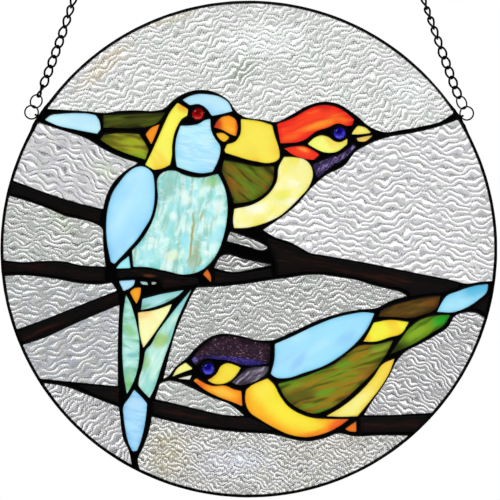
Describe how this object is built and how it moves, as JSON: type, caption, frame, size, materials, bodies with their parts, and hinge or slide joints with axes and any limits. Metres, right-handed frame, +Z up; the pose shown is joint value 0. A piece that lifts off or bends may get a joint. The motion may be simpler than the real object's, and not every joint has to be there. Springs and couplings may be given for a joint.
{
  "type": "hanging stained glass panel",
  "caption": "Round hanging stained glass panel of birds on dark branches in coloured opal glass on clear ripple glass, with blackened solder seams, a metal edge band and hanging chains.",
  "frame": {"origin": "the hanging point: midway between the upper ends of the two chains' top links, where two hooks hold them, in the panel's middle plane", "axes": "+X to the right seen from the front, +Y towards the back so that the picture faces -Y, +Z up"},
  "size_m": [0.305, 0.006, 0.3152],
  "materials": {
    "clear_ripple_glass": "clear, with wavy ripples",
    "sky_glass": "light blue opal",
    "turquoise_glass": "mottled turquoise and white opal with green streaks",
    "green_glass": "streaky green and amber opal",
    "olive_glass": "streaky dark olive and brown opal",
    "yellow_glass": "yellow opal",
    "cream_glass": "pale yellow opal with white flecks",
    "orange_glass": "orange opal shading to yellow",
    "red_glass": "red opal shading to orange",
    "violet_glass": "dark violet opal with pale flecks",
    "bark_glass": "near-black opal with faint brown streaks",
    "red_jewel": "polished dark red glass cabochon",
    "blue_jewel": "polished dark blue glass cabochon",
    "black_solder": "solder with a black patina, softly glossy",
    "black_chain": "blackened steel wire"
  },
  "bodies": {
    "root": {"clear_top": "clear_ripple_glass", "clear_left_1": "clear_ripple_glass", "clear_left_2": "clear_ripple_glass", "clear_left_3": "clear_ripple_glass", "clear_left_4": "clear_ripple_glass", "clear_left_5": "clear_ripple_glass", "clear_right_1": "clear_ripple_glass", "clear_right_2": "clear_ripple_glass", "clear_middle": "clear_ripple_glass", "clear_slot_lower": "clear_ripple_glass", "clear_sliver": "clear_ripple_glass", "clear_bottom": "clear_ripple_glass", "front_bird_crown": "sky_glass", "front_bird_nape": "yellow_glass", "front_bird_face": "sky_glass", "front_bird_beak_upper": "orange_glass", "front_bird_wing": "sky_glass", "front_bird_body": "turquoise_glass", "front_bird_tail_fan": "turquoise_glass", "front_bird_tail_yellow": "yellow_glass", "front_bird_tail_left": "turquoise_glass", "front_bird_tail_right": "turquoise_glass", "front_bird_tail_tip": "sky_glass", "back_bird_tail_tip": "sky_glass", "back_bird_rump": "olive_glass", "back_bird_flank": "green_glass", "back_bird_mantle": "yellow_glass", "back_bird_crown": "red_glass", "back_bird_ear": "red_glass", "back_bird_cheek": "yellow_glass", "back_bird_throat": "violet_glass", "back_bird_breast": "cream_glass", "back_bird_wing": "olive_glass", "lower_bird_head": "violet_glass", "lower_bird_cheek": "yellow_glass", "lower_bird_lower_cheek": "violet_glass", "lower_bird_throat": "orange_glass", "lower_bird_belly": "orange_glass", "lower_bird_wing": "sky_glass", "lower_bird_wing_lower": "green_glass", "lower_bird_saddle": "yellow_glass", "lower_bird_flank_strip": "cream_glass", "lower_bird_tail_brown": "olive_glass", "lower_bird_tail_green": "green_glass", "lower_bird_tail_tip": "sky_glass", "branch_left_upper": "bark_glass", "branch_left_middle": "bark_glass", "branch_left_lower": "bark_glass", "branch_perch": "bark_glass", "branch_fork": "bark_glass", "branch_main": "bark_glass", "branch_lower_left": "bark_glass", "branch_lower_right": "bark_glass", "front_bird_eye": "red_jewel", "back_bird_eye": "blue_jewel", "lower_bird_eye": "blue_jewel", "solder_lattice": "black_solder", "edge_band": "black_solder", "chain_left": "black_chain", "chain_right": "black_chain"}
  },
  "joints": []
}
